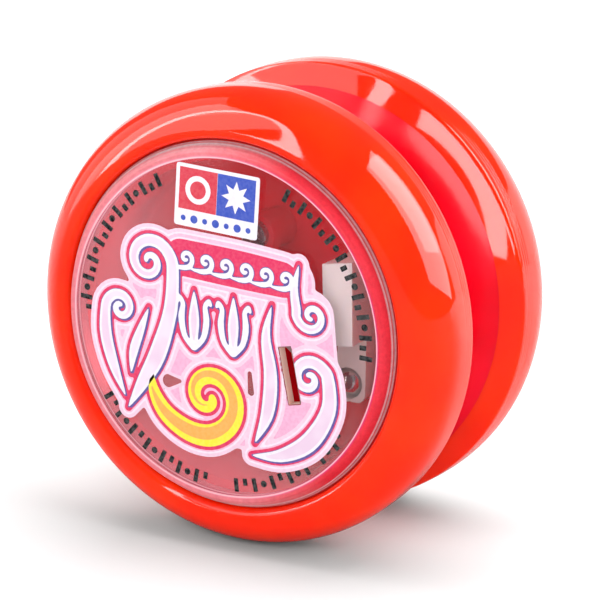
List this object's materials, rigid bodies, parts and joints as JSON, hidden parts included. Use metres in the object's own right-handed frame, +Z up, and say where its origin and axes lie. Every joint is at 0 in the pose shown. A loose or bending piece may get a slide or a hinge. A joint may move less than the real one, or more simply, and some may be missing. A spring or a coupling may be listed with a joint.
{
  "type": "yo-yo",
  "caption": "Round two-half yo-yo with glossy rims, clear caps, a turning string spool and a centrifugal clutch that lets the spool sleep and then grips it.",
  "frame": {"origin": "on the axle, in the middle of the string gap, which is also the middle of the outer shape", "axes": "+Y along the axle from the clutch side to the plain side; +Z up as the yo-yo stands on its rims; +X to the right seen from the clutch side"},
  "size_m": [0.057, 0.035, 0.057],
  "materials": {
    "rim_plastic": "gloss",
    "crimson_plastic": "gloss",
    "clear_plastic": "clear gloss",
    "label_print": "printed film",
    "badge_print": "printed film",
    "arm_plastic": "satin",
    "spool_plastic": "satin",
    "washer_plastic": "satin",
    "steel": "zinc plated",
    "ball_steel": "polished",
    "spring_steel": "drawn wire",
    "brass": "turned"
  },
  "bodies": {
    "clutch_half": {"clutch_side_shell": "crimson_plastic", "clutch_side_rim": "rim_plastic", "clutch_side_cap": "clear_plastic", "clutch_side_emblem": "label_print", "clutch_side_badge": "badge_print", "clutch_bridge": "crimson_plastic", "bridge_screws": "steel", "arm_pivot_pins": "steel", "clutch_spring_a": "spring_steel", "clutch_spring_b": "spring_steel", "axle": "steel", "axle_lock_nut": "steel", "drum_washer": "washer_plastic"},
    "spool": {"string_spool": "spool_plastic"},
    "arm_a": {"clutch_arm_a": "arm_plastic", "weight_ball_a": "ball_steel"},
    "arm_b": {"clutch_arm_b": "arm_plastic", "weight_ball_b": "ball_steel"},
    "washer": {"hub_washer": "washer_plastic"},
    "plain_half": {"plain_side_shell": "crimson_plastic", "plain_side_rim": "rim_plastic", "plain_side_cap": "clear_plastic", "plain_side_emblem": "label_print", "plain_side_badge": "badge_print", "captive_nut": "brass"}
  },
  "joints": [
    {"name": "spool_spin", "type": "hinge", "parent": "clutch_half", "child": "spool", "pos_m": [0, 0, 0], "axis": [0, 1, 0], "continuous": true},
    {"name": "arm_a_swing", "type": "hinge", "parent": "clutch_half", "child": "arm_a", "pos_m": [0.014, -0.0105, 0.007], "axis": [0, -1, 0], "range_deg": [0, 8], "stiffness_Nm_per_rad": 0.01, "springref_deg": -11.46, "deforming": ["clutch_spring_a"]},
    {"name": "arm_b_swing", "type": "hinge", "parent": "clutch_half", "child": "arm_b", "pos_m": [-0.014, -0.0105, -0.007], "axis": [0, -1, 0], "range_deg": [0, 8], "stiffness_Nm_per_rad": 0.01, "springref_deg": -11.46, "deforming": ["clutch_spring_b"]},
    {"name": "half_pull", "type": "slide", "parent": "clutch_half", "child": "washer", "axis": [0, 1, 0], "range_m": [0, 0.0056]},
    {"name": "half_unscrew", "type": "hinge", "parent": "washer", "child": "plain_half", "pos_m": [0, 0, 0], "axis": [0, 1, 0], "range_deg": [0, 2880]}
  ],
  "couplings": [
    {"joint": "half_pull", "follows": "half_unscrew", "m_per_rad": 0.00011141}
  ]
}
